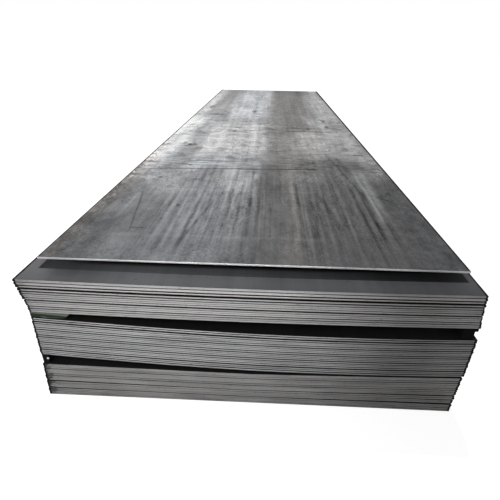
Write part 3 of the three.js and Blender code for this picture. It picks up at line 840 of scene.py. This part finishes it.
class STACK_OT_build_stage(bpy.types.Operator):
    """Sets the floor, the lamps and the camera"""

    bl_idname = "stack.build_stage"
    bl_label = "Build the stage"
    bl_options = {"REGISTER", "UNDO"}

    def execute(self, context):
        look = context.scene.stack_stage
        self.floor(look)
        self.world(context.scene)
        self.lamps()
        self.camera(context.scene, look)
        context.scene.view_settings.view_transform = "Standard"
        return {"FINISHED"}

    def floor(self, look):
        """A broad pale floor that shows white to the camera and keeps the shadow."""
        deselect_all()
        bpy.ops.mesh.primitive_plane_add(size=FLOOR_SIZE, location=(0.0, 0.0, -FLOOR_DROP))
        floor = bpy.context.active_object
        floor.name = "floor"
        material, tree, shader = new_material("pale floor")
        shader.inputs["Base Color"].default_value = look.floor_colour
        shader.inputs["Roughness"].default_value = 0.9
        path = wire(tree, "ShaderNodeLightPath")
        glow = wire(tree, "ShaderNodeEmission", {"Color": grey(1.0)})
        seen = maths(tree, "MULTIPLY", path.outputs["Is Camera Ray"], 0.85)
        shone = maths(tree, "MULTIPLY", path.outputs["Is Glossy Ray"], 0.05)
        tree.links.new(maths(tree, "ADD", seen, shone), glow.inputs["Strength"])
        both = wire(tree, "ShaderNodeAddShader", {0: shader.outputs[0], 1: glow.outputs[0]})
        tree.links.new(both.outputs[0], tree.nodes["Material Output"].inputs["Surface"])
        floor.data.materials.append(material)

    def world(self, scene):
        """White to the camera; to the steel, bright low down, more so at the left, and dark overhead."""
        world = bpy.data.worlds.new("studio")
        scene.world = world
        world.use_nodes = True
        tree = world.node_tree
        back = tree.nodes["Background"]
        coords = wire(tree, "ShaderNodeTexCoord")
        parts = wire(tree, "ShaderNodeSeparateXYZ", {0: coords.outputs["Generated"]})
        height = spread(tree, parts.outputs[2], 0.12, 0.52, 1.6, 0.22, smooth=True)
        side = spread(tree, parts.outputs[0], -0.5, 0.5, 1.5, 0.5, smooth=True)
        back_side = spread(tree, parts.outputs[1], -0.3, 0.5, 0.8, 1.0, smooth=True)
        level = maths(tree, "MULTIPLY", maths(tree, "MULTIPLY", height, side), back_side)
        path = wire(tree, "ShaderNodeLightPath")
        strength = wire(tree, "ShaderNodeMix", {0: path.outputs["Is Camera Ray"], 2: level, 3: 1.0})
        back.inputs["Color"].default_value = grey(1.0)
        tree.links.new(strength.outputs[0], back.inputs["Strength"])

    def lamps(self):
        """A hard light high above the stack, a soft one at its front left, and a low one in front."""
        high = self.lamp(
            "high lamp", "SUN", 1.9, (0.0, PACK_FRONT + 1.0, 5.0), (-22.0, 0.0, 0.0),
            angle=math.radians(1.5),
        )
        high.visible_glossy = False
        left = self.lamp(
            "left front lamp", "AREA", 11.0, (-0.75, PACK_FRONT - 0.85, 1.35), (45.0, 0.0, -25.0),
            shape="SQUARE", size=0.5,
        )
        left.visible_camera = False
        left.visible_glossy = False
        low = self.lamp(
            "low front lamp", "AREA", 3.0, (-0.40, PACK_FRONT - 1.0, 0.11), (90.0, 0.0, 0.0),
            shape="RECTANGLE", size=1.45, size_y=0.18, spread=math.radians(90.0),
        )
        low.visible_camera = False

    def lamp(self, name, kind, energy, place, turn, **settings):
        """Adds a lamp of this kind and power at a place in metres, turned in degrees."""
        data = bpy.data.lights.new(name, kind)
        data.energy = energy
        for setting, value in settings.items():
            setattr(data, setting, value)
        lamp = bpy.data.objects.new(name, data)
        lamp.location = place
        lamp.rotation_euler = tuple(math.radians(angle) for angle in turn)
        bpy.context.scene.collection.objects.link(lamp)
        return lamp

    def camera(self, scene, look):
        """The camera in front of the stack's ends and above it, tilted and shifted to frame it."""
        data = bpy.data.cameras.new("camera")
        data.sensor_width = SENSOR_WIDTH
        data.lens = look.lens
        data.shift_x, data.shift_y = CAMERA_SHIFT
        data.clip_end = CAMERA_REACH
        camera = bpy.data.objects.new("camera", data)
        camera.location = CAMERA_PLACE
        camera.rotation_euler = tuple(math.radians(angle) for angle in CAMERA_TURN)
        scene.collection.objects.link(camera)
        scene.camera = camera


# ---------------------------------------------------------------- panel and start


class STACK_PT_panel(bpy.types.Panel):
    """Lists the steps of the stack"""

    bl_label = "Plate stack"
    bl_idname = "STACK_PT_panel"
    bl_space_type = "VIEW_3D"
    bl_region_type = "UI"
    bl_category = "Plate stack"

    def draw(self, context):
        layout = self.layout
        for group in (context.scene.stack_plates, context.scene.stack_stage):
            for name in group.__annotations__:
                layout.prop(group, name)
        for step in STEPS:
            layout.operator(step.bl_idname)


STEPS = (STACK_OT_dress_packs, STACK_OT_dress_loose_plate, STACK_OT_dress_packing, STACK_OT_build_stage)
CLASSES = (PlateFinish, StageLook, *STEPS, STACK_PT_panel)


def register():
    """Makes the classes known to Blender."""
    for made in CLASSES:
        bpy.utils.register_class(made)
    bpy.types.Scene.stack_plates = PointerProperty(type=PlateFinish)
    bpy.types.Scene.stack_stage = PointerProperty(type=StageLook)


def unregister():
    """Takes the classes out again."""
    del bpy.types.Scene.stack_stage
    del bpy.types.Scene.stack_plates
    for made in reversed(CLASSES):
        bpy.utils.unregister_class(made)


def main():
    """Runs every step in order."""
    register()
    bpy.ops.stack.dress_packs()
    bpy.ops.stack.dress_loose_plate()
    bpy.ops.stack.dress_packing()
    bpy.ops.stack.build_stage()


if __name__ == "__main__":
    main()
